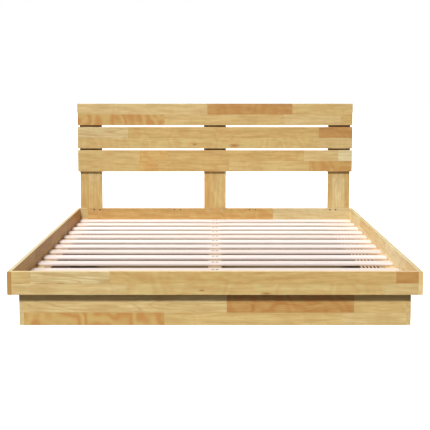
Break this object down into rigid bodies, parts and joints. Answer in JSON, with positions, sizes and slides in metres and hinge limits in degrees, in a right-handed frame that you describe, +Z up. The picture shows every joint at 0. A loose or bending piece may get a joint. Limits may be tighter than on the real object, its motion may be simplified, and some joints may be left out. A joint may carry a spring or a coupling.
{
  "type": "platform bed frame",
  "caption": "Low wooden platform bed frame with a recessed plinth, slatted base inside raised rails, and a headboard of wide horizontal boards on upright posts.",
  "frame": {"origin": "on the floor under the middle of the whole bed, headboard included", "axes": "+Y from the foot end towards the headboard, +X to the right of someone standing at the foot, +Z up"},
  "size_m": [1.636, 2.054, 0.843],
  "materials": {
    "board_wood": "clear satin lacquer on finger-jointed hardwood",
    "slat_wood": "planed pale softwood",
    "support_wood": "planed plain wood",
    "dowel_wood": "plain turned wood",
    "webbing": "flat woven strap",
    "dark_steel": "blackened",
    "plated_steel": "zinc plated"
  },
  "bodies": {
    "root": {"barrel_nuts": "plated_steel", "beam_rest_back": "support_wood", "beam_rest_front": "support_wood", "centre_beam": "support_wood", "centre_leg_back": "support_wood", "centre_leg_front": "support_wood", "centre_post_bolts": "plated_steel", "cleat_screws": "plated_steel", "corner_block_back_left": "support_wood", "corner_block_back_right": "support_wood", "corner_block_front_left": "support_wood", "corner_block_front_right": "support_wood", "corner_bolts": "dark_steel", "dowels": "dowel_wood", "foot_cleat": "support_wood", "foot_rail": "board_wood", "head_cleat": "support_wood", "head_rail": "board_wood", "headboard_board_bottom": "board_wood", "headboard_board_middle": "board_wood", "headboard_board_top": "board_wood", "headboard_post_centre": "board_wood", "headboard_post_left": "board_wood", "headboard_post_right": "board_wood", "headboard_screws": "plated_steel", "ledger_screws": "plated_steel", "outer_post_bolts": "dark_steel", "plinth_back": "board_wood", "plinth_front": "board_wood", "plinth_left": "board_wood", "plinth_right": "board_wood", "side_cleat_left": "support_wood", "side_cleat_right": "support_wood", "side_ledger_left": "support_wood", "side_ledger_right": "support_wood", "side_rail_left": "board_wood", "side_rail_right": "board_wood", "slat_01": "slat_wood", "slat_02": "slat_wood", "slat_03": "slat_wood", "slat_04": "slat_wood", "slat_05": "slat_wood", "slat_06": "slat_wood", "slat_07": "slat_wood", "slat_08": "slat_wood", "slat_09": "slat_wood", "slat_10": "slat_wood", "slat_11": "slat_wood", "slat_12": "slat_wood", "slat_13": "slat_wood", "slat_screws": "plated_steel", "sleeve_nuts": "plated_steel", "webbing_strap_left": "webbing", "webbing_strap_right": "webbing"}
  },
  "joints": []
}
